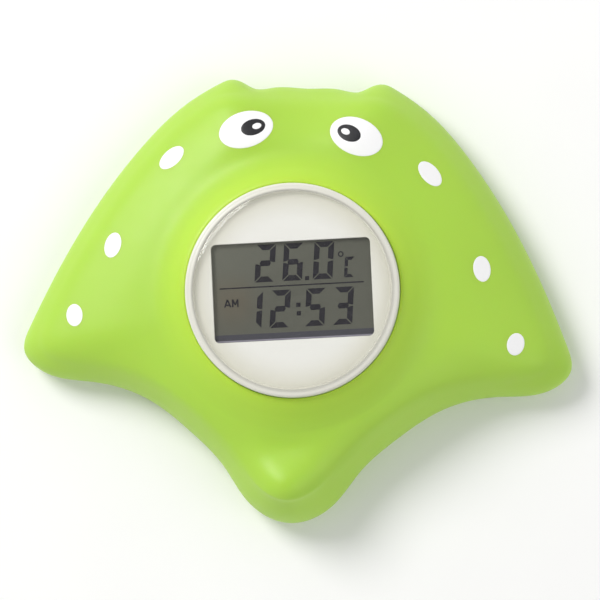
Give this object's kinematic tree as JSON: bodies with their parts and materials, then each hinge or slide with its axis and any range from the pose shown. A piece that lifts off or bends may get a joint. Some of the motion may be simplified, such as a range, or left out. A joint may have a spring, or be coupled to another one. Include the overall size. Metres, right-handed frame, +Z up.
{
  "type": "floating bath thermometer",
  "caption": "Soft floating bath thermometer shaped like a ray, with a round digital thermometer and clock module pushed into its back; the module turns and lifts out.",
  "frame": {"origin": "on the surface that the float rests on, under the middle of the float's outline", "axes": "+Z up out of the display, +Y towards the ray's head, +X towards its right wing tip as the display is read"},
  "size_m": [0.1302, 0.1048, 0.0285],
  "materials": {
    "float_vinyl": "soft moulded vinyl, satin",
    "lens_clear": "clear moulded plastic, polished",
    "plate_white": "white moulded plastic, fine satin",
    "shell_white": "white moulded plastic, semi-gloss",
    "lcd_film": "grey-green polarising film",
    "lcd_glass": "clear display glass",
    "lcd_mirror_film": "metallised reflector film",
    "zebra_rubber": "layered silicone connector",
    "foam_grey": "soft closed-cell foam",
    "board_green": "green solder mask",
    "epoxy_black": "black epoxy",
    "component_grey": "ceramic chip parts",
    "steel": "zinc-plated and stainless steel",
    "nickel": "nickel-plated spring strip",
    "seal_rubber": "black silicone",
    "button_grey": "grey silicone-coated plastic, matt",
    "copper_lead": "enamelled copper wire"
  },
  "bodies": {
    "float": {"float_skin": "float_vinyl"},
    "seal_ring": {"case_seal": "seal_rubber"},
    "module": {"front_lens": "lens_clear", "face_plate": "plate_white", "lcd_front_polariser": "lcd_film", "lcd_front_glass": "lcd_glass", "lcd_rear_glass": "lcd_glass", "lcd_reflector": "lcd_mirror_film", "zebra_strip": "zebra_rubber", "lcd_backing_foam": "foam_grey", "circuit_board": "board_green", "chip_blob": "epoxy_black", "clock_crystal": "steel", "board_components": "component_grey", "board_screws": "steel", "back_shell": "shell_white", "coin_cell": "steel", "battery_contact_minus": "nickel", "battery_contact_plus": "nickel", "button_seals": "seal_rubber", "sensor_cap": "steel", "sensor_gasket": "seal_rubber", "thermistor_bead": "epoxy_black", "thermistor_leads": "copper_lead"},
    "door": {"battery_door": "shell_white", "door_seal": "seal_rubber"},
    "set_plunger": {"set_button": "button_grey", "set_button_pill": "seal_rubber"},
    "adjust_plunger": {"adjust_button": "button_grey", "adjust_button_pill": "seal_rubber"}
  },
  "joints": [
    {"name": "module_lift", "type": "slide", "parent": "float", "child": "seal_ring", "axis": [0, 0, 1], "range_m": [0, 0.04]},
    {"name": "module_turn", "type": "hinge", "parent": "seal_ring", "child": "module", "pos_m": [0, 0.0012, 0], "axis": [0, 0, 1], "continuous": true},
    {"name": "door_twist", "type": "hinge", "parent": "module", "child": "door", "pos_m": [0.00052, -0.00478, 0], "axis": [0, 0, -1], "range_deg": [0, 40]},
    {"name": "set_press", "type": "slide", "parent": "module", "child": "set_plunger", "axis": [0, 0, 1], "range_m": [0, 0.0008], "stiffness_N_per_m": 1500, "springref_m": -0.0003},
    {"name": "adjust_press", "type": "slide", "parent": "module", "child": "adjust_plunger", "axis": [0, 0, 1], "range_m": [0, 0.0008], "stiffness_N_per_m": 1500, "springref_m": -0.0003}
  ]
}
